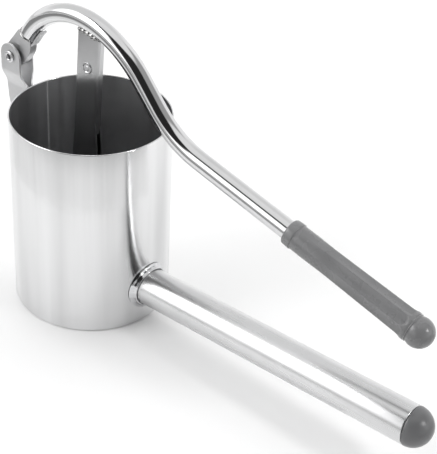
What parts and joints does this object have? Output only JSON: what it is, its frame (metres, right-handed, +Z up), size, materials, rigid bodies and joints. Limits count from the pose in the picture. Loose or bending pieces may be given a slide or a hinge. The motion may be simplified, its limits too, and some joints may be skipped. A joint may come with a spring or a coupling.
{
  "type": "potato ricer",
  "caption": "Hand press: a steel cylinder with a perforated base, a fixed tube handle and a hinged lever that drives a plunger down through it.",
  "frame": {"origin": "middle of the whole length and width, at the level the cylinder stands on", "axes": "+Z up along the cylinder; +X from the hinge end towards the two handle ends; Y across"},
  "size_m": [0.283, 0.085, 0.1664],
  "materials": {
    "polished_steel": "polished stainless steel, bright with soft reflections",
    "sheet_steel": "tumbled stainless sheet, satin",
    "weld_steel": "cleaned weld metal, slightly dull",
    "grip_plastic": "satin mid-grey moulded plastic",
    "plug_plastic": "satin dark-grey moulded plastic"
  },
  "bodies": {
    "basket": {"basket_cylinder": "polished_steel", "perforated_disc": "sheet_steel", "handle_collar": "polished_steel", "handle_tube": "polished_steel", "handle_end_plug": "plug_plastic", "clevis_leaf_near": "sheet_steel", "clevis_leaf_far": "sheet_steel", "clevis_weld_near": "weld_steel", "clevis_weld_far": "weld_steel", "pivot_rivet": "sheet_steel"},
    "lever": {"lever_bracket": "sheet_steel", "pivot_bush": "sheet_steel", "lever_bracket_weld": "weld_steel", "lever_tube": "polished_steel", "lever_grip": "grip_plastic", "hanger_channel": "sheet_steel", "hanger_weld_near": "weld_steel", "hanger_weld_far": "weld_steel", "hanger_rivet": "sheet_steel", "hanger_spacer": "sheet_steel", "plunger_pin": "sheet_steel"},
    "plunger": {"plunger_yoke": "sheet_steel", "plunger_plate": "sheet_steel", "yoke_rivet_left": "sheet_steel", "yoke_rivet_right": "sheet_steel"}
  },
  "joints": [
    {"name": "lever_hinge", "type": "hinge", "parent": "basket", "child": "lever", "pos_m": [-0.13426, 0, 0.1235], "axis": [0, -1, 0], "range_deg": [-4, 60]},
    {"name": "plunger_slide", "type": "slide", "parent": "basket", "child": "plunger", "axis": [0, 0, 1], "range_m": [-0.0046, 0.068]}
  ],
  "couplings": [
    {"joint": "plunger_slide", "follows": "lever_hinge", "m_per_rad": 0.0648}
  ]
}
